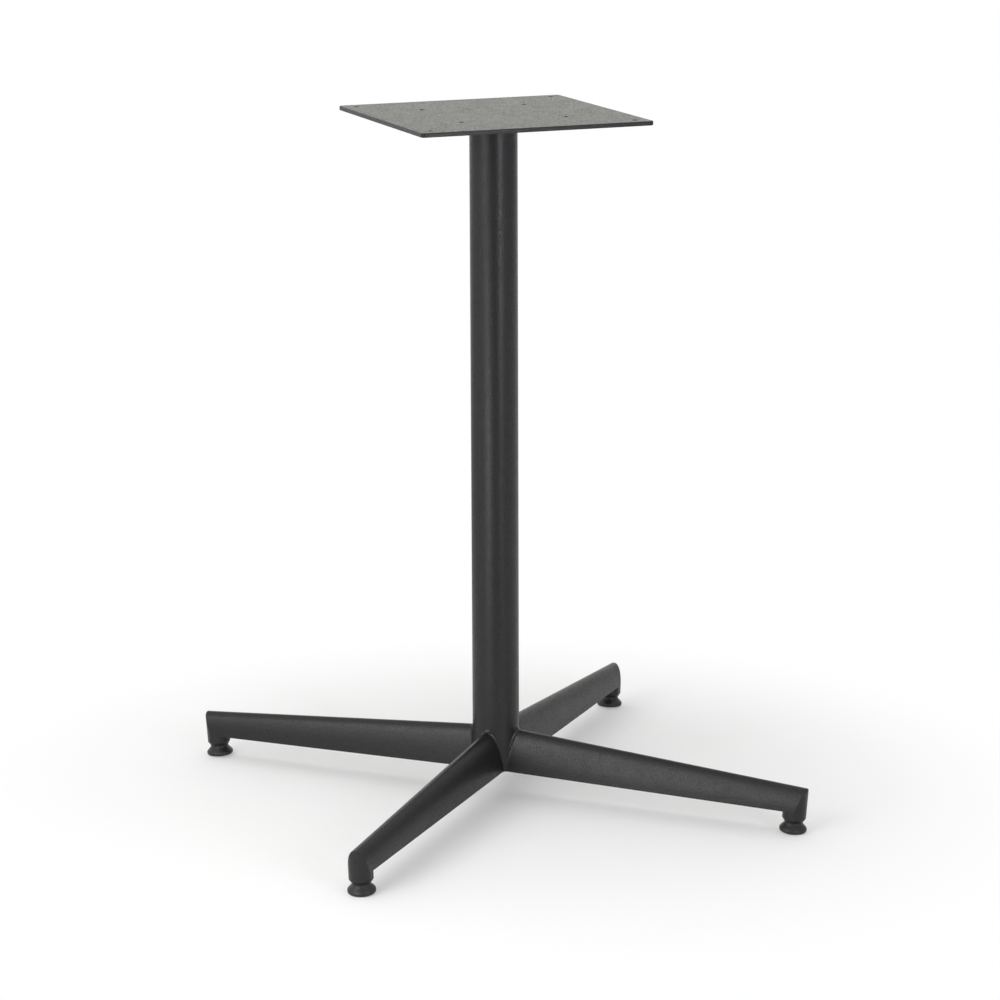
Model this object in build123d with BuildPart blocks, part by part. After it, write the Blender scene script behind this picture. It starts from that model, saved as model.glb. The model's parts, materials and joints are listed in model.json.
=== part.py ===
from build123d import *
import math
import os

# Table base: a square steel plate on a tube column, four pressed sheet legs on the plate's
# diagonals, a round socket at the end of each leg and a screwed glide in each socket.
# Millimetres, +Z up, origin on the floor under the middle of the column.

total_height = 733.0

# Top plate
plate_side = 250.0
plate_thickness = 4.5
plate_corner_radius = 4.0
plate_edge_break = 0.6
screw_hole_diameter = 5.5
outer_hole_inset = 15.0
inner_hole_spacing = 114.0

# Column
column_diameter = 50.0
column_wall = 2.0
plate_weld_leg = 4.0

# Legs: each size is given where the leg meets the column and at the foot; the drop is how
# far the centre of the arch lies below the lower edges
leg_sheet = 2.5
ridge_at_column = 73.5
ridge_at_foot = 50.0
edge_at_column = 30.0
edge_at_foot = 24.5
arch_drop_at_column = 15.0
arch_drop_at_foot = 4.5
leg_width_at_column = 33.0
leg_weld_radius = 4.5
weld_clearance = 0.02

# Feet: the sockets stand square to the slope of the ridge, so they lean out at the top, and
# stand out a little from the flanks of the legs
foot_radius = 336.0
socket_diameter = 25.0
socket_stand_out = 0.5
socket_taper_width = 2.2
socket_taper_height = 3.5
nose_edge_round = 2.0

# Glides
glide_rim_diameter = 28.8
glide_neck_diameter = 19.4
glide_height = 11.4
glide_edge_round = 2.4
glide_shoulder_height = 4.2
glide_shoulder_round = 3.0
glide_neck_round = 0.4
glide_seat_gap = 0.3
stud_diameter = 8.0
stud_engagement = 16.0
stud_tip_chamfer = 0.8
stud_head_diameter = 13.0
stud_head_thickness = 2.5
stud_head_height = 2.0
thread_clearance = 0.05
bore_end_gap = 1.5

# Slack allowed when edges are picked by their place
pick_slack = 0.01

column_radius = column_diameter / 2
column_top = total_height - plate_thickness
outer_hole_spacing = plate_side - 2 * outer_hole_inset
socket_radius = socket_diameter / 2
leg_width_at_foot = socket_diameter - 2 * socket_stand_out
lean = math.atan((ridge_at_column - ridge_at_foot) / (foot_radius - column_radius))
sole_height = (glide_rim_diameter / 2 - glide_edge_round) * math.sin(lean)
sole_height += glide_edge_round * (1 - math.cos(lean))
socket_bottom = glide_height + glide_seat_gap
leg_start = column_radius / 2
leg_end = foot_radius + 2 * socket_diameter
form_bottom = -edge_at_foot

# The axis of a foot stands on the middle of its sole; local Z runs up the axis and
# local X points away from the column.
foot_plane = Plane(
    origin=(foot_radius, 0, sole_height),
    x_dir=(math.cos(lean), 0, -math.sin(lean)),
    z_dir=(math.sin(lean), 0, math.cos(lean)),
)
foot_profile_plane = Plane(
    origin=foot_plane.origin,
    x_dir=foot_plane.x_dir,
    z_dir=(0, -1, 0),
)
foot_axis = Axis(foot_plane.origin, foot_plane.z_dir)
nose_plane = Plane(origin=foot_plane.origin, x_dir=(0, 1, 0), z_dir=foot_plane.x_dir)

# The lower edges of a leg lie in one sloping plane
edge_plane = Plane(
    origin=(foot_radius, 0, edge_at_foot),
    x_dir=(0, -1, 0),
    z_dir=(edge_at_column - edge_at_foot, 0, foot_radius - column_radius),
)

# The legs are evenly spaced round the column, from the front left corner on
corners = ("front_left", "front_right", "back_right", "back_left")
first_leg_angle = 225.0

os.makedirs("parts", exist_ok=True)


def along_leg(at_column, at_foot, distance):
    """Straight taper of a leg size, at a distance from the column's axis."""
    share = (distance - column_radius) / (foot_radius - column_radius)
    return at_column + (at_foot - at_column) * share


def leg_section(distance, inset=0.0):
    """Cross-section of a leg: the upper half of an ellipse, carried straight down past the floor.

    The centre of the ellipse is below the leg's lower edges. The inset moves the arch and the
    flanks in, or out where it is below 0.
    """
    ridge = along_leg(ridge_at_column, ridge_at_foot, distance)
    edge = along_leg(edge_at_column, edge_at_foot, distance)
    centre = edge - along_leg(arch_drop_at_column, arch_drop_at_foot, distance)
    half_width = along_leg(leg_width_at_column, leg_width_at_foot, distance) / 2
    rise = ridge - centre
    span = half_width / math.sqrt(1 - ((edge - centre) / rise) ** 2) - inset
    with BuildSketch(Plane(origin=(distance, 0, 0), x_dir=(0, 1, 0), z_dir=(1, 0, 0))) as section:
        with BuildLine():
            arch = EllipticalCenterArc((0, centre), span, rise - inset, arc_size=180)
            Polyline(arch @ 1, (-span, form_bottom), (span, form_bottom), arch @ 0)
        make_face()
    return section.sketch


def is_leg_root(edge):
    """True for an edge where the skin of a leg meets the skin of the column."""
    middle = edge @ 0.5
    on_skin = abs(math.hypot(middle.X, middle.Y) - column_radius) < pick_slack
    return on_skin and edge_at_column + pick_slack < middle.Z < ridge_at_column + pick_slack


def is_nose_edge(edge):
    """True for an edge where the round nose of a leg meets its arch."""
    middle = foot_plane.to_local_coords(edge @ 0.5)
    on_skin = abs(math.hypot(middle.X, middle.Y) - socket_radius) < pick_slack
    return on_skin and middle.Z > pick_slack


# Top plate: square, with a row of screw holes near the corners and a second inside it
with BuildPart() as top_plate:
    with BuildSketch(Plane.XY.offset(column_top)):
        RectangleRounded(plate_side, plate_side, plate_corner_radius)
        for spacing in (outer_hole_spacing, inner_hole_spacing):
            with GridLocations(spacing, spacing, 2, 2):
                Circle(screw_hole_diameter / 2, mode=Mode.SUBTRACT)
    extrude(amount=plate_thickness)
    rims = [face.outer_wire().edges() for face in top_plate.faces().filter_by(Axis.Z)]
    chamfer(rims[0] + rims[1], plate_edge_break)
top_plate.part.label = "top_plate"
export_step(top_plate.part, "parts/top_plate.step")

# Column: a round tube from the legs' lower edges up to the plate
with BuildPart() as column:
    with BuildSketch(Plane.XY.offset(edge_at_column)):
        Circle(column_radius)
        Circle(column_radius - column_wall, mode=Mode.SUBTRACT)
    extrude(amount=column_top - edge_at_column)
column.part.label = "column"
export_step(column.part, "parts/column.step")

# Weld round the column under the plate: a hollow fillet
with BuildPart() as plate_weld:
    with BuildSketch(Plane.XZ):
        with BuildLine():
            foot_of_weld = (column_radius, column_top - plate_weld_leg)
            rim_of_weld = (column_radius + plate_weld_leg, column_top)
            Line((column_radius, column_top), foot_of_weld)
            RadiusArc(foot_of_weld, rim_of_weld, plate_weld_leg)
            Line(rim_of_weld, (column_radius, column_top))
        make_face()
    revolve(axis=Axis.Z)
plate_weld.part.label = "plate_weld"
export_step(plate_weld.part, "parts/plate_weld.step")

# Outer form of a leg along +X, solid, carried on below its lower edges
with BuildPart() as leg_form:
    loft(sections=[leg_section(leg_start), leg_section(leg_end)], ruled=True)

# The hollow of a leg, a sheet thickness inside its outer form
with BuildPart() as leg_hollow:
    loft(
        sections=[leg_section(leg_start, leg_sheet), leg_section(leg_end, leg_sheet)],
        ruled=True,
    )

# One leg: sheet pressed to an arch, open below, cut to the column and to the foot
with BuildPart() as leg_master:
    add(leg_form.part)
    add(leg_hollow.part, mode=Mode.SUBTRACT)
    split(bisect_by=edge_plane, keep=Keep.TOP)
    with BuildSketch(Plane.XY):
        Circle(column_radius)
    extrude(amount=total_height, mode=Mode.SUBTRACT)
    split(bisect_by=nose_plane, keep=Keep.BOTTOM)

# The root of a leg: column and leg in one, above the leg's lower edges
with BuildPart() as leg_root:
    with BuildSketch(Plane.XY):
        Circle(column_radius)
    extrude(amount=ridge_at_column + column_diameter)
    add(leg_form.part)
    split(bisect_by=Plane.XY.offset(edge_at_column), keep=Keep.TOP)

# The room of the leg and column behind the weld, a hair larger than they are
with BuildPart() as weld_room:
    with BuildSketch(Plane.XY):
        Circle(column_radius + weld_clearance)
    extrude(amount=ridge_at_column + column_diameter)
    loft(
        sections=[leg_section(leg_start, -weld_clearance), leg_section(leg_end, -weld_clearance)],
        ruled=True,
    )

# One leg weld: the hollow fillet between the leg's skin and the column, in its own quarter
with BuildPart() as weld_master:
    add(leg_root.part)
    fillet(weld_master.edges().filter_by(is_leg_root), leg_weld_radius)
    add(weld_room.part, mode=Mode.SUBTRACT)
    quarter = 2 * column_diameter
    with BuildSketch(Plane.XY):
        with BuildLine():
            Polyline((0, 0), (quarter, -quarter), (quarter, quarter), close=True)
        make_face()
    extrude(amount=total_height, mode=Mode.INTERSECT)

# A round post at the foot, shaped to the outer form of the leg, with soft edges between the
# post and the arch
with BuildPart() as post:
    with BuildSketch(foot_plane):
        Circle(socket_radius)
    extrude(amount=ridge_at_column)
    add(leg_form.part, mode=Mode.INTERSECT)
    fillet(post.edges().filter_by(is_nose_edge), nose_edge_round)

# The room that the sheet takes up round the inner half of a post: all that is above the
# lower edges and outside the hollow
with BuildPart() as sheet_room:
    with BuildSketch(nose_plane):
        Rectangle(4 * socket_diameter, 2 * ridge_at_column)
    extrude(amount=-socket_diameter)
    split(bisect_by=edge_plane, keep=Keep.TOP)
    add(leg_hollow.part, mode=Mode.SUBTRACT)

# One foot socket: the post with a tapered lower end and a blind thread, fitted into the leg
with BuildPart() as socket_master:
    taper_slope = socket_taper_height / socket_taper_width
    with BuildSketch(foot_profile_plane):
        with BuildLine():
            Polyline(
                (0, socket_bottom),
                (socket_radius - socket_taper_width, socket_bottom),
                (socket_diameter, socket_bottom + taper_slope * (socket_radius + socket_taper_width)),
                (socket_diameter, ridge_at_column),
                (0, ridge_at_column),
                close=True,
            )
        make_face()
    revolve(axis=foot_axis)
    add(post.part, mode=Mode.INTERSECT)
    add(sheet_room.part, mode=Mode.SUBTRACT)
    with BuildSketch(foot_plane.offset(socket_bottom)):
        Circle(stud_diameter / 2 + thread_clearance)
    extrude(amount=stud_engagement + bore_end_gap, mode=Mode.SUBTRACT)

# One glide stud: a threaded pin with a flat head moulded into the glide
with BuildPart() as stud_master:
    with BuildSketch(foot_plane.offset(stud_head_height)):
        Circle(stud_head_diameter / 2)
    extrude(amount=stud_head_thickness)
    with BuildSketch(foot_plane.offset(stud_head_height + stud_head_thickness)):
        Circle(stud_diameter / 2)
    stud_tip = socket_bottom + stud_engagement
    extrude(amount=stud_tip - stud_head_height - stud_head_thickness)
    tip_edge = stud_master.edges().filter_by(GeomType.CIRCLE).sort_by(foot_axis)[-1]
    chamfer(tip_edge, stud_tip_chamfer)

# One glide: a bell-shaped plastic foot round the stud's head
with BuildPart() as glide_master:
    rim = glide_rim_diameter / 2
    neck = glide_neck_diameter / 2
    flare_top = glide_shoulder_height + rim - neck
    with BuildSketch(foot_profile_plane):
        with BuildLine():
            FilletPolyline(
                (0, 0),
                (rim, 0),
                (rim, glide_shoulder_height),
                (neck, flare_top),
                (neck, glide_height),
                (0, glide_height),
                radius=[glide_edge_round, glide_shoulder_round, glide_shoulder_round, glide_neck_round],
            )
            Line((0, glide_height), (0, 0))
        make_face()
    revolve(axis=foot_axis)
    add(stud_master.part, mode=Mode.SUBTRACT)

# Each corner gets its own leg, weld, socket, stud and glide
masters = {
    "leg": leg_master,
    "leg_weld": weld_master,
    "foot_socket": socket_master,
    "glide_stud": stud_master,
    "glide_foot": glide_master,
}
for place, corner in enumerate(corners):
    angle = first_leg_angle + place * 360 / len(corners)
    for piece, master in masters.items():
        with BuildPart() as placed:
            add(master.part, rotation=(0, 0, angle))
        placed.part.label = f"{piece}_{corner}"
        export_step(placed.part, f"parts/{piece}_{corner}.step")
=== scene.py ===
"""Studio scene of a pedestal table base with screw-in glides.

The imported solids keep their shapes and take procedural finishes. The weld under the top plate
and the threaded studs of the glides are modelled here, with detail that the solids leave out.
Lengths are in metres, and the angles set here are in degrees.
"""
import json
import logging
import math
from collections.abc import Callable, Mapping
from dataclasses import dataclass, replace
from enum import Enum

import bmesh
import bpy
from mathutils import Matrix, Vector


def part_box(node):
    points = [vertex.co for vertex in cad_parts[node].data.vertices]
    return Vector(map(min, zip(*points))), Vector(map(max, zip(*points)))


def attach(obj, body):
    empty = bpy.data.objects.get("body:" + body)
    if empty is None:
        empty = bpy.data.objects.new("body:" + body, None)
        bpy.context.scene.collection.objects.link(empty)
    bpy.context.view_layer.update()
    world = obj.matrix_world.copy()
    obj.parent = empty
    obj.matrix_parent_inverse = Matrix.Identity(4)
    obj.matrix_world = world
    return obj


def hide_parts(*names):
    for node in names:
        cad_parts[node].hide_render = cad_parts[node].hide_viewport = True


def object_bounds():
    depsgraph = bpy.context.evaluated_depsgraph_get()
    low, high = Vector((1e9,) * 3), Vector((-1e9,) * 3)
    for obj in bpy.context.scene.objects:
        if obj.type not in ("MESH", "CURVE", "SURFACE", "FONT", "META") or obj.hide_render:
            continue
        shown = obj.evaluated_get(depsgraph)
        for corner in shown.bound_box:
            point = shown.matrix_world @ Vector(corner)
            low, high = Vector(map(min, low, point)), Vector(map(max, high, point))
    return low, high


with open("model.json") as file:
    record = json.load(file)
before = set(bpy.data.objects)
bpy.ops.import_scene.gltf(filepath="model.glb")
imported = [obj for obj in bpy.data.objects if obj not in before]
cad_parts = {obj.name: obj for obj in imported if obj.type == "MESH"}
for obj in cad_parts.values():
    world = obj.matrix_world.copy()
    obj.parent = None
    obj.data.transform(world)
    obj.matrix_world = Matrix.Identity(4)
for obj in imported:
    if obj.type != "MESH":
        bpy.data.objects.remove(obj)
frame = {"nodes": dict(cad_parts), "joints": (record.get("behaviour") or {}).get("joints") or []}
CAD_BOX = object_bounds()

LOG = logging.getLogger("table_base")
BASE_BODY = "base"
MILLIMETRE = 0.001

Colour = tuple[float, float, float, float]
Span = tuple[float, float]
WHITE: Colour = (1.0, 1.0, 1.0, 1.0)
GREY: Colour = (0.6, 0.6, 0.6, 1.0)
DIM_GREY: Colour = (0.45, 0.45, 0.44, 1.0)
CHARCOAL: Colour = (0.2, 0.2, 0.2, 1.0)
BLACK: Colour = (0.02, 0.02, 0.02, 1.0)

# Bearings round the base from +X, to the camera and away from it
FRONT_BEARING = 248.2
REAR_BEARING = FRONT_BEARING - 180.0
# The two ways that a mask can run
RISING: Span = (0.0, 1.0)
FALLING: Span = (1.0, 0.0)
# The values that noise mostly takes, and the part of a tint over which roughness changes
NOISE_RANGE: Span = (0.3, 0.7)
ROUGHNESS_RANGE: Span = (0.2, 0.8)
# How well a rounded normal agrees with the flat one, from the middle of an edge to a plain face
EDGE_AGREEMENT: Span = (0.75, 0.995)


class Corner(Enum):
    """The corners of the base, by the name that their nodes carry."""

    FRONT_LEFT = "front_left"
    FRONT_RIGHT = "front_right"
    BACK_RIGHT = "back_right"
    BACK_LEFT = "back_left"


class Slot(Enum):
    """The record's material slots for the pieces made here, which nothing in the script assigns."""

    POWDER_COAT = "powder_coat"
    ZINC_STEEL = "zinc_steel"


class Board:
    """A node tree, with short ways to add its nodes and join them."""

    def __init__(self, tree: bpy.types.NodeTree) -> None:
        """Takes over a tree and empties it."""
        self.tree = tree
        tree.nodes.clear()

    def node(
        self, kind: str, inputs: Mapping[str | int, object] | None = None, **settings: object
    ) -> bpy.types.Node:
        """Adds a node.

        Args:
            kind: Blender's name of the node type.
            inputs: A value, or an output socket to join, for each input by name or number.
            **settings: Attributes of the node, set before its inputs.

        Returns:
            The new node.
        """
        made = self.tree.nodes.new(kind)
        for name, value in settings.items():
            setattr(made, name, value)
        for name, value in (inputs or {}).items():
            if isinstance(value, bpy.types.NodeSocket):
                self.tree.links.new(value, made.inputs[name])
            else:
                made.inputs[name].default_value = value
        return made

    def math(self, operation: str, first: object, second: object = 0.0) -> bpy.types.NodeSocket:
        """Adds a sum of two values and gives its result."""
        return self.node("ShaderNodeMath", {0: first, 1: second}, operation=operation).outputs[0]

    def along(self, way: bpy.types.NodeSocket, direction: object) -> bpy.types.NodeSocket:
        """Gives how far a vector reaches along a direction."""
        made = self.node("ShaderNodeVectorMath", {0: way, 1: direction}, operation="DOT_PRODUCT")
        return made.outputs["Value"]

    def distance(self) -> bpy.types.NodeSocket:
        """Gives the distance of a surface from the scene's origin."""
        place = self.node("ShaderNodeNewGeometry").outputs["Position"]
        return self.node("ShaderNodeVectorMath", {0: place}, operation="LENGTH").outputs["Value"]

    def noise(self, scale: bpy.types.NodeSocket, detail: float, roughness: float) -> bpy.types.NodeSocket:
        """Adds noise that stays with the object.

        Args:
            scale: The socket of the number of grains per metre.
            detail: How many finer layers it has.
            roughness: How strong the finer layers are.

        Returns:
            The socket of the noise's value.
        """
        place = self.node("ShaderNodeTexCoord").outputs["Object"]
        inputs = {"Vector": place, "Scale": scale, "Detail": detail, "Roughness": roughness}
        return self.node("ShaderNodeTexNoise", inputs).outputs[0]

    def spread(self, value: object, source: Span, target: Span) -> bpy.types.NodeSocket:
        """Eases a value from one range into another.

        Args:
            value: The value or socket to ease.
            source: Where the ease starts and ends.
            target: What it gives at those two places.

        Returns:
            The eased value's socket.
        """
        ends = {"From Min": source[0], "From Max": source[1], "To Min": target[0], "To Max": target[1]}
        made = self.node("ShaderNodeMapRange", {"Value": value, **ends}, interpolation_type="SMOOTHSTEP")
        return made.outputs["Result"]

    def ramp(self, mask: bpy.types.NodeSocket, low: Colour, high: Colour) -> bpy.types.NodeSocket:
        """Turns a mask into a colour between two.

        Args:
            mask: The socket of a value from 0 to 1.
            low: The colour at 0.
            high: The colour at 1.

        Returns:
            The colour's socket.
        """
        made = self.node("ShaderNodeValToRGB", {"Fac": mask})
        made.color_ramp.elements[0].color = low
        made.color_ramp.elements[1].color = high
        return made.outputs["Color"]


def blank_material(name: str) -> tuple[bpy.types.Material, Board]:
    """Makes a material without nodes.

    Args:
        name: The material's name.

    Returns:
        The material, and the board to lay out its nodes on.
    """
    made = bpy.data.materials.new(name)
    made.use_nodes = True
    return made, Board(made.node_tree)


class Effects:
    """The surface effects that several finishes share, each a shader node group built once."""

    def __init__(self) -> None:
        """Builds the groups."""
        self.grain = self._group(
            "surface_grain",
            {"Grain per metre": 1500.0, "Peel per metre": 350.0, "Peel share": 0.5},
            {"Height": "NodeSocketFloat", "Speckle": "NodeSocketFloat"},
            self._fill_grain,
        )
        self.mottle = self._group(
            "soft_mottle",
            {"Patches per metre": 20.0},
            {"Mask": "NodeSocketFloat"},
            self._fill_mottle,
        )
        self.edge = self._group(
            "rounded_edge",
            {"Radius": 0.5 * MILLIMETRE},
            {"Mask": "NodeSocketFloat", "Normal": "NodeSocketVector"},
            self._fill_edge,
        )

    @staticmethod
    def _group(
        name: str,
        inputs: Mapping[str, float],
        outputs: Mapping[str, str],
        fill: Callable[[Board, bpy.types.Node, bpy.types.Node], None],
    ) -> bpy.types.NodeTree:
        """Makes an empty group and has its nodes filled in.

        Args:
            name: The group's name.
            inputs: The default of each number that it takes.
            outputs: The socket type of each result.
            fill: The method that adds the nodes between the group's two ends.

        Returns:
            The finished group.
        """
        tree = bpy.data.node_groups.new(name, "ShaderNodeTree")
        for label, value in inputs.items():
            socket = tree.interface.new_socket(label, in_out="INPUT", socket_type="NodeSocketFloat")
            socket.default_value = value
        for label, kind in outputs.items():
            tree.interface.new_socket(label, in_out="OUTPUT", socket_type=kind)
        board = Board(tree)
        fill(board, board.node("NodeGroupInput"), board.node("NodeGroupOutput"))
        return tree

    @staticmethod
    def _fill_grain(board: Board, start: bpy.types.Node, end: bpy.types.Node) -> None:
        """Lays fine grit over a softer orange peel.

        Args:
            board: The group's nodes.
            start: The node with the group's inputs.
            end: The node that takes its results.
        """
        grit = board.noise(start.outputs["Grain per metre"], detail=2.0, roughness=0.6)
        peel = board.noise(start.outputs["Peel per metre"], detail=1.0, roughness=0.5)
        share = start.outputs["Peel share"]
        soft = board.math("MULTIPLY", peel, share)
        fine = board.math("MULTIPLY", grit, board.math("SUBTRACT", 1.0, share))
        board.tree.links.new(board.math("ADD", soft, fine), end.inputs["Height"])
        board.tree.links.new(grit, end.inputs["Speckle"])

    @staticmethod
    def _fill_mottle(board: Board, start: bpy.types.Node, end: bpy.types.Node) -> None:
        """Lays out broad soft patches.

        Args:
            board: The group's nodes.
            start: The node with the group's inputs.
            end: The node that takes its results.
        """
        patches = board.noise(start.outputs["Patches per metre"], detail=4.0, roughness=0.55)
        board.tree.links.new(board.spread(patches, NOISE_RANGE, RISING), end.inputs["Mask"])

    @staticmethod
    def _fill_edge(board: Board, start: bpy.types.Node, end: bpy.types.Node) -> None:
        """Rounds sharp edges softly, with a mask that is 1 along them, which the finishes use to paint a
        highlight there.

        Args:
            board: The group's nodes.
            start: The node with the group's inputs.
            end: The node that takes its results.
        """
        bevel = board.node("ShaderNodeBevel", {"Radius": start.outputs["Radius"]}, samples=4)
        rounded = bevel.outputs["Normal"]
        flat = board.node("ShaderNodeNewGeometry").outputs["Normal"]
        # Mask along the edges for a painted highlight: the finishes lighten their colour there
        edge_sheen_mask = board.spread(board.along(rounded, flat), EDGE_AGREEMENT, FALLING)
        board.tree.links.new(edge_sheen_mask, end.inputs["Mask"])
        board.tree.links.new(rounded, end.inputs["Normal"])

    @staticmethod
    def place(board: Board, group: bpy.types.NodeTree, **values: float) -> bpy.types.Node:
        """Puts a group into a material.

        Args:
            board: The material's nodes.
            group: The group to place.
            **values: Its inputs, with an underscore for each space.

        Returns:
            The group's node.
        """
        made = board.node("ShaderNodeGroup", node_tree=group)
        for name, value in values.items():
            made.inputs[name.replace("_", " ")].default_value = value
        return made


@dataclass(frozen=True)
class Finish:
    """A coated, moulded or plated surface, with its grain, patches and edges.

    It has two colours and two roughnesses, for its dark flecks and then for its light ones.
    """

    name: str
    dark: Colour
    light: Colour
    # The lighter colour of a painted highlight along the edges
    edge: Colour
    roughness: Span
    grain_per_metre: float
    bump_height: float
    bump_strength: float
    patches_per_metre: float
    ior: float = 1.5
    metallic: float = 0.0
    peel_per_metre: float = 350.0
    peel_share: float = 0.5
    patch_share: float = 0.5
    edge_radius: float = 0.5 * MILLIMETRE
    # How strongly the painted edge highlight shows
    edge_share: float = 0.5

    def material(self, effects: Effects) -> bpy.types.Material:
        """Builds the finish as a material.

        Args:
            effects: The shared node groups.

        Returns:
            The material.
        """
        made, board = blank_material(self.name)
        grain = effects.place(
            board,
            effects.grain,
            Grain_per_metre=self.grain_per_metre,
            Peel_per_metre=self.peel_per_metre,
            Peel_share=self.peel_share,
        )
        mottle = effects.place(board, effects.mottle, Patches_per_metre=self.patches_per_metre)
        edge = effects.place(board, effects.edge, Radius=self.edge_radius)
        tint = self.tint(board, grain.outputs["Speckle"], mottle.outputs["Mask"])
        bump = board.node(
            "ShaderNodeBump",
            {
                "Strength": self.bump_strength,
                "Distance": self.bump_height,
                "Height": grain.outputs["Height"],
                "Normal": edge.outputs["Normal"],
            },
        )
        skin = board.node(
            "ShaderNodeBsdfPrincipled",
            {
                "Base Color": self.colour(board, tint, edge.outputs["Mask"]),
                "Roughness": board.spread(tint, ROUGHNESS_RANGE, self.roughness),
                "Metallic": self.metallic,
                "IOR": self.ior,
                "Normal": bump.outputs[0],
            },
        )
        board.node("ShaderNodeOutputMaterial", {"Surface": skin.outputs[0]})
        return made

    def tint(
        self, board: Board, speckle: bpy.types.NodeSocket, mottle: bpy.types.NodeSocket
    ) -> bpy.types.NodeSocket:
        """Mixes fine flecks with broad patches.

        Args:
            board: The material's nodes.
            speckle: The socket of the fine grain.
            mottle: The socket of the patches' mask.

        Returns:
            The socket of a mask from the dark flecks to the light ones.
        """
        flecks = board.spread(speckle, NOISE_RANGE, RISING)
        fine = board.math("MULTIPLY", flecks, 1.0 - self.patch_share)
        return board.math("ADD", board.math("MULTIPLY", mottle, self.patch_share), fine)

    def colour(
        self, board: Board, tint: bpy.types.NodeSocket, edge_mask: bpy.types.NodeSocket
    ) -> bpy.types.NodeSocket:
        """Colours the surface, with a painted highlight that lightens its edges a little.

        Args:
            board: The material's nodes.
            tint: The socket of the mask from dark to light.
            edge_mask: The socket of the mask along the edges.

        Returns:
            The colour's socket.
        """
        body = board.ramp(tint, self.dark, self.light)
        # Painted highlight: the body colour is lightened towards the edge colour along edges
        painted_edge_highlight = board.math("MULTIPLY", edge_mask, self.edge_share)
        made = board.node("ShaderNodeMixRGB", {"Fac": painted_edge_highlight, "Color1": body, "Color2": self.edge})
        return made.outputs[0]


POWDER_COAT = Finish(
    name="fine texture powder coat",
    dark=(0.006, 0.006, 0.0062, 1.0),
    light=(0.019, 0.019, 0.0197, 1.0),
    edge=(0.030, 0.030, 0.031, 1.0),
    roughness=(0.46, 0.28),
    ior=1.38,
    grain_per_metre=800.0,
    peel_share=0.1,
    bump_height=0.25 * MILLIMETRE,
    bump_strength=0.7,
    patches_per_metre=70.0,
    patch_share=0.15,
    edge_radius=0.4 * MILLIMETRE,
)
GROUND_COAT = replace(POWDER_COAT, name="powder coat over ground joints", edge_radius=0.0, edge_share=0.0)
WELD_COAT = replace(GROUND_COAT, name="smooth coat over welds", roughness=(0.22, 0.28), bump_strength=0.1)
GLIDE_PLASTIC = Finish(
    name="moulded glide plastic",
    dark=(0.011, 0.011, 0.0114, 1.0),
    light=(0.018, 0.018, 0.0185, 1.0),
    edge=(0.024, 0.024, 0.024, 1.0),
    roughness=(0.40, 0.48),
    ior=1.42,
    grain_per_metre=3000.0,
    peel_per_metre=700.0,
    bump_height=0.02 * MILLIMETRE,
    bump_strength=0.2,
    patches_per_metre=120.0,
)
ZINC_PLATE = Finish(
    name="bright zinc plate",
    dark=(0.50, 0.50, 0.50, 1.0),
    light=(0.62, 0.62, 0.61, 1.0),
    edge=(0.70, 0.70, 0.70, 1.0),
    roughness=(0.24, 0.36),
    metallic=1.0,
    grain_per_metre=4000.0,
    peel_per_metre=900.0,
    bump_height=0.01 * MILLIMETRE,
    bump_strength=0.2,
    patches_per_metre=300.0,
    edge_radius=0.1 * MILLIMETRE,
)


@dataclass
class Workshop:
    """The finishes at hand, and the ways to dress nodes and pieces with them."""

    coat: bpy.types.Material
    ground_coat: bpy.types.Material
    weld_coat: bpy.types.Material
    plastic: bpy.types.Material
    zinc: bpy.types.Material

    @staticmethod
    def dress(node: str, finish: bpy.types.Material) -> None:
        """Gives a CAD node one finish all over.

        Args:
            node: The node's name.
            finish: The material that it takes.
        """
        solid = frame["nodes"][node]
        if not solid.material_slots:
            solid.data.materials.append(finish)
        for slot in solid.material_slots:
            slot.material = finish
        LOG.info("%s takes %s", node, finish.name)

    @staticmethod
    def piece(name: str, grid: bmesh.types.BMesh, finish: bpy.types.Material) -> bpy.types.Object:
        """Turns a built form into an object of the scene.

        Args:
            name: The piece's name.
            grid: Its form, which is used up.
            finish: The material that it takes.

        Returns:
            The new object.
        """
        bmesh.ops.recalc_face_normals(grid, faces=grid.faces)
        mesh = bpy.data.meshes.new(name)
        grid.to_mesh(mesh)
        grid.free()
        mesh.materials.append(finish)
        mesh.shade_smooth()
        made = bpy.data.objects.new(name, mesh)
        bpy.context.scene.collection.objects.link(made)
        LOG.info("%s built with %d faces", name, len(mesh.polygons))
        return made


def ring_skin(grid: bmesh.types.BMesh, rings: list[list[Vector]], closed: bool) -> None:
    """Skins a stack of rings that all have as many points.

    Args:
        grid: The form to add to.
        rings: The points of each ring, in order round it.
        closed: True where the last ring joins the first, else both ends get a cap.
    """
    rows = [[grid.verts.new(point) for point in ring] for ring in rings]
    count = len(rings[0])
    pairs = list(zip(rows, rows[1:]))
    if closed:
        pairs.append((rows[-1], rows[0]))
    else:
        grid.faces.new(rows[0])
        grid.faces.new(rows[-1])
    for lower, upper in pairs:
        for k in range(count):
            after = (k + 1) % count
            grid.faces.new((lower[k], lower[after], upper[after], upper[k]))


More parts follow.
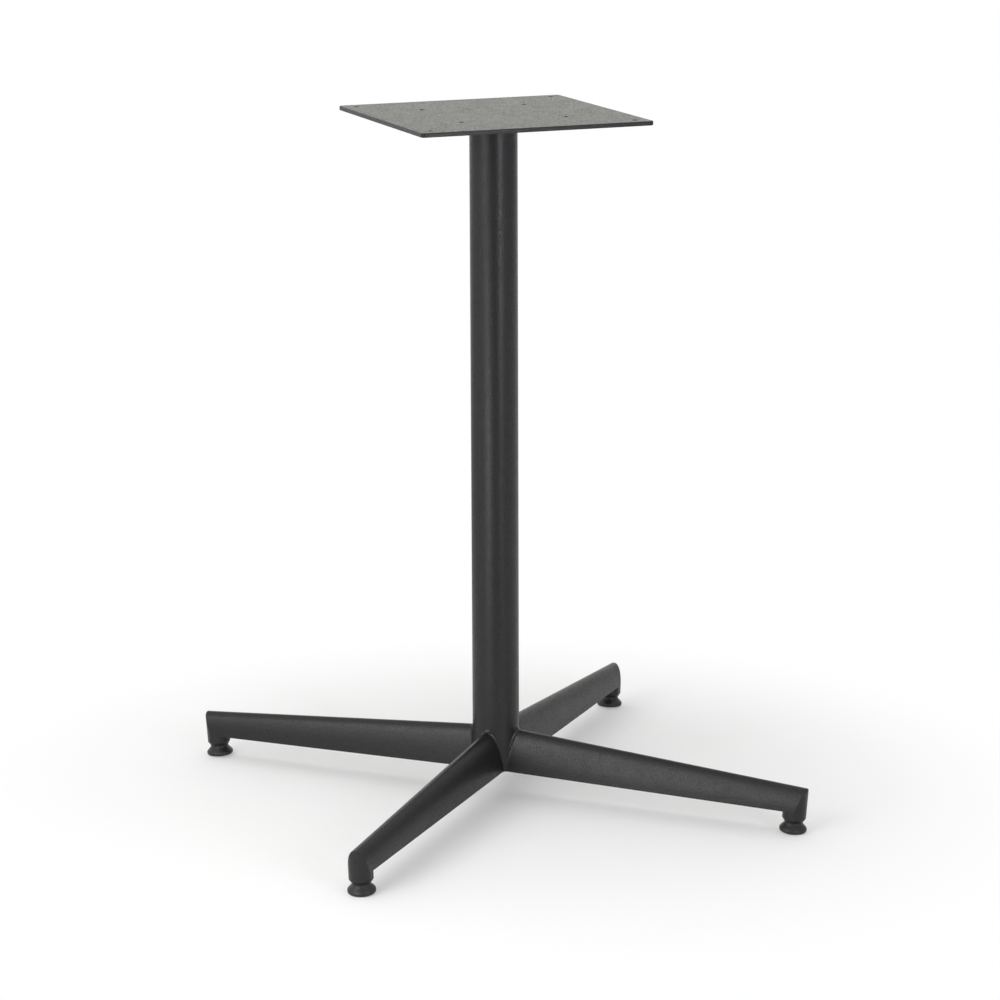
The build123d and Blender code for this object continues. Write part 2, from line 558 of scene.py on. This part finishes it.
@dataclass
class Top:
    """The drilled plate and the weld that holds it to the column."""

    column_diameter: float = 50.0 * MILLIMETRE
    weld_leg: float = 4.0 * MILLIMETRE
    weld_hollow: float = 0.18
    ripple_pitch: float = 2.2 * MILLIMETRE
    ripple_depth: float = 0.35 * MILLIMETRE
    ripple_lean: float = 0.6
    section_points: int = 9
    steps_per_ripple: int = 8

    def build(self, workshop: Workshop) -> None:
        """Dresses the plate and lays the rippled weld bead under it.

        Args:
            workshop: The finishes at hand.
        """
        workshop.dress("top_plate", workshop.coat)
        bead = workshop.piece("plate_weld_bead", self.weld_form(), workshop.weld_coat)
        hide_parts("plate_weld")
        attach(bead, BASE_BODY)

    def weld_form(self) -> bmesh.types.BMesh:
        """Shapes the bead: a corner section carried round the column, with scale-like ripples.

        Returns:
            The closed form of the bead.
        """
        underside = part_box("top_plate")[0].z
        ripples = round(math.pi * self.column_diameter / self.ripple_pitch)
        steps = ripples * self.steps_per_ripple
        rings = []
        for step in range(steps):
            angle = math.tau * step / steps
            ring = []
            for reach, drop in self.weld_section(ripples * step / steps):
                radius = self.column_diameter / 2 + reach
                ring.append(Vector((radius * math.cos(angle), radius * math.sin(angle), underside - drop)))
            rings.append(ring)
        grid = bmesh.new()
        ring_skin(grid, rings, closed=True)
        return grid

    def weld_section(self, travel: float) -> list[Span]:
        """Outlines the bead at one place round the column, from the corner that it fills.

        Args:
            travel: Ripples from the start of the bead to this place.

        Returns:
            Each point's distance out from the column and down from the plate.
        """
        section = [(0.0, 0.0)]
        for k in range(self.section_points):
            share = k / (self.section_points - 1)
            bow = math.sin(math.pi * share)
            phase = (travel - self.ripple_lean * bow) % 1.0
            ripple = self.ripple_depth * bow * (1 - abs(2 * phase - 1) ** 2)
            length = (self.weld_leg - ripple) * (1 - self.weld_hollow * bow)
            swing = math.pi / 2 * share
            section.append((length * math.sin(swing), length * math.cos(swing)))
        return section


@dataclass
class Pedestal:
    """The column and the legs welded round its foot."""

    ground_parts: tuple[str, ...] = ("leg", "foot_socket")

    def build(self, workshop: Workshop) -> None:
        """Dresses the column, legs, welds and sockets.

        Args:
            workshop: The finishes at hand.
        """
        workshop.dress("column", workshop.coat)
        for corner in Corner:
            for part in self.ground_parts:
                workshop.dress(f"{part}_{corner.value}", workshop.ground_coat)
            workshop.dress(f"leg_weld_{corner.value}", workshop.weld_coat)


@dataclass
class Glide:
    """A plastic glide and its threaded stud."""

    corner: Corner
    thread_diameter: float = 8.0 * MILLIMETRE
    thread_pitch: float = 1.25 * MILLIMETRE
    thread_depth: float = 0.68 * MILLIMETRE
    crest_share: float = 1.0 / 6.0
    root_share: float = 1.0 / 6.0
    head_thickness: float = 2.5 * MILLIMETRE
    tip_chamfer: float = 0.8 * MILLIMETRE
    points_per_turn: int = 40
    rings_per_pitch: int = 10

    def build(self, workshop: Workshop) -> None:
        """Dresses the glide and cuts the thread of its stud.

        Args:
            workshop: The finishes at hand.
        """
        body = f"glide_{self.corner.value}"
        workshop.dress(f"glide_foot_{self.corner.value}", workshop.plastic)
        stud = workshop.piece(f"threaded_stud_{self.corner.value}", self.stud_form(), workshop.zinc)
        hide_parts(f"glide_stud_{self.corner.value}")
        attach(stud, body)

    def stud_form(self) -> bmesh.types.BMesh:
        """Shapes the stud in its place: a flat head and a shank with a rolled thread.

        Returns:
            The closed form of the stud.
        """
        joint = next(j for j in frame["joints"] if j["child"] == f"glide_{self.corner.value}")
        up = -Vector(joint["axis"]).normalized()
        side = up.orthogonal().normalized()
        ahead = up.cross(side)
        solid = frame["nodes"][f"glide_stud_{self.corner.value}"]
        spans = []
        for axis in (side, ahead, up):
            reaches = [vertex.co.dot(axis) for vertex in solid.data.vertices]
            spans.append((min(reaches), max(reaches)))
        middle = side * sum(spans[0]) / 2 + ahead * sum(spans[1]) / 2
        head_radius = (spans[0][1] - spans[0][0]) / 2
        bottom, tip = spans[2]
        shank = bottom + self.head_thickness
        # Heights and radii up the stud, where a radius of 0 stands for the thread
        stations = [(bottom, head_radius), (shank, head_radius)]
        count = round((tip - shank) / self.thread_pitch * self.rings_per_pitch)
        stations += [(shank + (tip - shank) * k / count, 0.0) for k in range(count + 1)]
        rings = []
        for height, radius in stations:
            ring = []
            for k in range(self.points_per_turn):
                turn = k / self.points_per_turn
                reach = radius or self.thread_radius(height - shank, tip - height, turn)
                out = side * math.cos(math.tau * turn) + ahead * math.sin(math.tau * turn)
                ring.append(middle + up * height + out * reach)
            rings.append(ring)
        grid = bmesh.new()
        ring_skin(grid, rings, closed=False)
        return grid

    def thread_radius(self, above_head: float, below_tip: float, turn: float) -> float:
        """Radius of the thread at one place.

        Args:
            above_head: Height over the stud's head.
            below_tip: Distance from the stud's tip.
            turn: Share of a turn round the stud.

        Returns:
            The radius, which falls to the root of the thread in each groove and at the tip.
        """
        crest = self.thread_diameter / 2
        phase = (above_head / self.thread_pitch - turn) % 1.0
        from_crest = abs(2 * phase - 1)
        flank = 1 - self.crest_share - self.root_share
        ridge = min(1.0, max(0.0, (1 - self.root_share - from_crest) / flank))
        tip_radius = crest - max(0.0, self.tip_chamfer - below_tip)
        return min(crest - self.thread_depth * (1 - ridge), tip_radius)


@dataclass
class PhotoCamera:
    """The camera of the photograph, fitted to the outline of the base.

    The lens and the sensor are in millimetres.
    """

    azimuth: float = -21.754
    elevation: float = 13.697
    roll: float = -0.215
    distance: float = 3.4518
    aim_height: float = 0.32394
    aim_aside: float = 0.00537
    focal_length: float = 117.583
    sensor_width: float = 36.0

    def build(self) -> None:
        """Puts the camera in its place and makes it the scene's own."""
        turn, tilt, lean = (math.radians(angle) for angle in (self.azimuth, self.elevation, self.roll))
        back = Vector((math.sin(turn) * math.cos(tilt), -math.cos(turn) * math.cos(tilt), math.sin(tilt)))
        level = Vector((math.cos(turn), math.sin(turn), 0.0))
        upright = back.cross(level)
        right = level * math.cos(lean) + upright * math.sin(lean)
        data = bpy.data.cameras.new("photo_camera")
        data.sensor_width = self.sensor_width
        data.lens = self.focal_length
        made = bpy.data.objects.new("photo_camera", data)
        made.matrix_world = Matrix((right, back.cross(right), back)).transposed().to_4x4()
        made.location = Vector((0.0, 0.0, self.aim_height)) + back * self.distance + level * self.aim_aside
        bpy.context.scene.collection.objects.link(made)
        bpy.context.scene.camera = made
        LOG.info("camera placed")


@dataclass(frozen=True)
class SoftBox:
    """A flat soft lamp that faces a point of the base."""

    name: str
    bearing: float
    distance: float
    height: float
    width: float
    tall: float
    brightness: float
    colour: tuple[float, float, float] = (1.0, 1.0, 1.0)
    aim_height: float = 0.3
    in_reflections: bool = True

    def build(self) -> None:
        """Hangs the lamp and turns it to the base."""
        data = bpy.data.lights.new(self.name, "AREA")
        data.shape = "RECTANGLE"
        data.size = self.width
        data.size_y = self.tall
        data.color = self.colour
        # A lamp is as bright as its power over its area and pi
        data.energy = self.brightness * math.pi * self.width * self.tall
        made = bpy.data.objects.new(self.name, data)
        bearing = math.radians(self.bearing)
        made.location = (self.distance * math.cos(bearing), self.distance * math.sin(bearing), self.height)
        aim = Vector((0.0, 0.0, self.aim_height)) - made.location
        made.rotation_euler = aim.to_track_quat("-Z", "Y").to_euler()
        made.visible_camera = False
        made.visible_glossy = self.in_reflections
        bpy.context.scene.collection.objects.link(made)
        LOG.info("%s hung", self.name)


@dataclass(frozen=True)
class Card:
    """A grey or black card beside the base, which only reflections show.

    It lies on the floor over its reach where its height is 0, and stands upright at the near end
    of it otherwise. Its tones run over the reach too.
    """

    name: str
    bearing: float
    reach: Span
    width: float
    tones: tuple[Colour, Colour]
    height: float = 0.0

    def build(self) -> None:
        """Sets the card up, with a soft run from its first tone to its last."""
        turn = math.radians(self.bearing)
        ahead = Vector((math.cos(turn), math.sin(turn), 0.0))
        aside = Vector((-ahead.y, ahead.x, 0.0)) * self.width / 2
        near = ahead * self.reach[0]
        far = near + Vector((0.0, 0.0, self.height)) if self.height else ahead * self.reach[1]
        mesh = bpy.data.meshes.new(self.name)
        mesh.from_pydata([near - aside, far - aside, far + aside, near + aside], [], [(0, 1, 2, 3)])
        made = bpy.data.objects.new(self.name, mesh)
        made.location.z = CAD_BOX[0].z + MILLIMETRE
        made.visible_camera = False
        made.visible_diffuse = False
        made.visible_shadow = False
        bpy.context.scene.collection.objects.link(made)
        mesh.materials.append(self.material())
        LOG.info("%s set up", self.name)

    def material(self) -> bpy.types.Material:
        """Colours the card by the distance from the base.

        Returns:
            The card's material.
        """
        made, board = blank_material(self.name)
        tone = board.ramp(board.spread(board.distance(), self.reach, RISING), *self.tones)
        shown = board.node("ShaderNodeEmission", {"Color": tone, "Strength": 1.0})
        board.node("ShaderNodeOutputMaterial", {"Surface": shown.outputs[0]})
        return made


@dataclass
class Studio:
    """The pale floor, the surroundings and the lamps."""

    floor_radius: float = 40.0
    floor_sides: int = 96
    floor_colour: Colour = (0.92, 0.922, 0.912, 1.0)
    shadow_reach: Span = (0.25, 0.62)
    shadow_lift: float = 0.2
    rear_bearing: float = REAR_BEARING
    wall_height: Span = (0.2, 0.8)
    ceiling_light: float = 0.65
    depth_fade: Span = (-0.8, 0.6)
    front_light: float = 0.12
    rear_light: float = 1.2
    right_fade: Span = (0.2, 0.8)
    right_light: float = 0.45
    cards: tuple[Card, ...] = (
        Card("front_floor_card", bearing=FRONT_BEARING, reach=(0.5, 3.4), width=3.0, tones=(GREY, BLACK)),
        Card(
            "front_curtain", bearing=FRONT_BEARING, reach=(3.4, 9.0), width=11.0,
            tones=(CHARCOAL, CHARCOAL), height=4.0,
        ),
        Card(
            "right_screen", bearing=350.0, reach=(4.0, 9.0), width=5.0,
            tones=(DIM_GREY, DIM_GREY), height=3.0,
        ),
        Card("left_floor_card", bearing=128.0, reach=(0.7, 4.0), width=1.9, tones=(GREY, DIM_GREY)),
    )
    lamps: tuple[SoftBox, ...] = (
        SoftBox(
            "left softbox", bearing=206.0, distance=1.8, height=0.88, width=1.0, tall=0.9, brightness=4.0
        ),
        SoftBox(
            "high left softbox", bearing=190.0, distance=1.9, height=1.4, width=1.2, tall=0.5, brightness=3.9
        ),
        SoftBox(
            "low left panel", bearing=219.0, distance=1.16, height=0.15, width=0.5, tall=0.3, brightness=6.0,
            aim_height=0.05,
        ),
        SoftBox(
            "right strip", bearing=281.5, distance=2.1, height=0.6, width=0.34, tall=1.1, brightness=11.4,
            colour=(0.94, 0.94, 1.0),
        ),
        SoftBox(
            "rear panel", bearing=REAR_BEARING, distance=4.0, height=1.2, width=5.0, tall=1.6,
            brightness=0.28, colour=(1.0, 1.0, 0.65), aim_height=0.7,
        ),
        SoftBox(
            "overhead fill", bearing=REAR_BEARING, distance=0.01, height=2.6, width=5.0, tall=5.0,
            brightness=0.4, in_reflections=False,
        ),
    )

    def build(self) -> None:
        """Sets up the floor, the world, the cards and the lamps."""
        self.lay_floor()
        self.surround()
        for card in self.cards:
            card.build()
        for lamp in self.lamps:
            lamp.build()

    def lay_floor(self) -> None:
        """Lays a round pale floor under the base."""
        grid = bmesh.new()
        bmesh.ops.create_circle(grid, cap_ends=True, segments=self.floor_sides, radius=self.floor_radius)
        mesh = bpy.data.meshes.new("floor")
        grid.to_mesh(mesh)
        grid.free()
        made = bpy.data.objects.new("floor", mesh)
        made.location.z = CAD_BOX[0].z
        bpy.context.scene.collection.objects.link(made)
        mesh.materials.append(self.floor_material())
        LOG.info("floor laid")

    def floor_material(self) -> bpy.types.Material:
        """Paints the floor, which keeps the base's shadow and clears to white further out.

        Returns:
            The floor's material.
        """
        made, board = blank_material("pale floor")
        clear = board.spread(board.distance(), self.shadow_reach, (self.shadow_lift, 1.0))
        clear = board.math("MULTIPLY", clear, self.seen(board))
        paint = board.node("ShaderNodeBsdfDiffuse", {"Color": self.floor_colour})
        white = board.node("ShaderNodeEmission", {"Color": WHITE, "Strength": 1.0})
        mixed = board.node("ShaderNodeMixShader", {0: clear, 1: paint.outputs[0], 2: white.outputs[0]})
        board.node("ShaderNodeOutputMaterial", {"Surface": mixed.outputs[0]})
        return made

    @staticmethod
    def seen(board: Board) -> bpy.types.NodeSocket:
        """Tells the rays that show the surroundings from those that only light the base.

        Args:
            board: The nodes of the floor's material or of the world.

        Returns:
            The socket of 1 for a ray seen straight, in a reflection or through glass, else 0.
        """
        ray = board.node("ShaderNodeLightPath").outputs
        shown = board.math("MAXIMUM", ray["Is Camera Ray"], ray["Is Glossy Ray"])
        return board.math("MAXIMUM", shown, ray["Is Transmission Ray"])

    def surround(self) -> None:
        """Surrounds the base with white walls that light it less from above, the front and the right."""
        world = bpy.data.worlds.new("studio walls")
        world.use_nodes = True
        board = Board(world.node_tree)
        way = board.node("ShaderNodeTexCoord").outputs["Generated"]
        bearing = math.radians(self.rear_bearing)
        up = (0.0, 0.0, 1.0)
        rear = (math.cos(bearing), math.sin(bearing), 0.0)
        right = (math.sin(bearing), -math.cos(bearing), 0.0)
        wall = board.spread(board.along(way, up), self.wall_height, (1.0, self.ceiling_light))
        depth = board.spread(board.along(way, rear), self.depth_fade, (self.front_light, self.rear_light))
        shade = board.spread(board.along(way, right), self.right_fade, (1.0, self.right_light))
        lit = board.math("MULTIPLY", board.math("MULTIPLY", wall, depth), shade)
        white = board.math("MULTIPLY", self.seen(board), board.math("SUBTRACT", 1.0, lit))
        strength = board.math("ADD", lit, white)
        light = board.node("ShaderNodeBackground", {"Color": WHITE, "Strength": strength})
        board.node("ShaderNodeOutputWorld", {"Surface": light.outputs[0]})
        bpy.context.scene.world = world
        LOG.info("walls set up")


def main() -> None:
    """Builds the scene piece by piece."""
    logging.basicConfig(level=logging.INFO, format="%(message)s")
    bpy.context.scene.view_settings.view_transform = "Standard"
    PhotoCamera().build()
    effects = Effects()
    workshop = Workshop(
        coat=POWDER_COAT.material(effects),
        ground_coat=GROUND_COAT.material(effects),
        weld_coat=WELD_COAT.material(effects),
        plastic=GLIDE_PLASTIC.material(effects),
        zinc=ZINC_PLATE.material(effects),
    )
    Top().build(workshop)
    Pedestal().build(workshop)
    for corner in Corner:
        Glide(corner).build(workshop)
    Studio().build()


if __name__ == "__main__":
    main()
